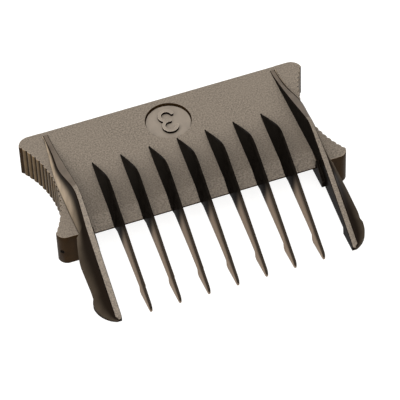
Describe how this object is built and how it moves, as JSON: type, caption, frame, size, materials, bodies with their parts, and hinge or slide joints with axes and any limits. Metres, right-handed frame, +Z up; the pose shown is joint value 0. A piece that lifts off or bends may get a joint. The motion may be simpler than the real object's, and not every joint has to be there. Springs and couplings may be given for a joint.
{
  "type": "clipper guard comb",
  "caption": "Clip-on comb for a hair clipper: a textured deck with a round size mark, thin fin teeth, flared outer teeth and ribbed grip sides that spring apart over the blade.",
  "frame": {"origin": "middle of the footprint, on the surface that the guard stands on", "axes": "+X to the right side, +Y to the back of the deck (teeth point to -Y), +Z up, the way the teeth rise from the deck"},
  "size_m": [0.0468, 0.0356, 0.0109],
  "materials": {
    "deck_plastic": "fine spark texture, satin, warm dark grey",
    "mark_plastic": "smooth satin floor and numeral, warm dark grey",
    "tooth_plastic": "polished fin faces, near black",
    "runner_plastic": "polished flare with a fine textured strip on top",
    "grip_plastic": "vertical finger ribs, satin"
  },
  "bodies": {
    "comb": {"base_plate": "deck_plastic", "size_disc": "mark_plastic", "size_numeral": "mark_plastic", "tooth_1": "tooth_plastic", "tooth_2": "tooth_plastic", "tooth_3": "tooth_plastic", "tooth_4": "tooth_plastic", "tooth_5": "tooth_plastic", "tooth_6": "tooth_plastic", "tooth_7": "tooth_plastic", "outer_tooth_left": "runner_plastic", "outer_tooth_right": "runner_plastic", "blade_rail_left": "tooth_plastic", "blade_rail_right": "tooth_plastic"},
    "left_clip": {"grip_wall_left": "grip_plastic", "rear_corner_left": "deck_plastic", "front_post_left": "deck_plastic", "snap_lug_left": "deck_plastic"},
    "right_clip": {"grip_wall_right": "grip_plastic", "rear_corner_right": "deck_plastic", "front_post_right": "deck_plastic", "snap_lug_right": "deck_plastic"}
  },
  "joints": [
    {"name": "left_clip_flex", "type": "hinge", "parent": "comb", "child": "left_clip", "pos_m": [-0.01945, 0.0069, 0.0059], "axis": [0, 1, 0], "range_deg": [0, 5], "stiffness_Nm_per_rad": 0.3},
    {"name": "right_clip_flex", "type": "hinge", "parent": "comb", "child": "right_clip", "pos_m": [0.01945, 0.0069, 0.0059], "axis": [0, -1, 0], "range_deg": [0, 5], "stiffness_Nm_per_rad": 0.3}
  ]
}
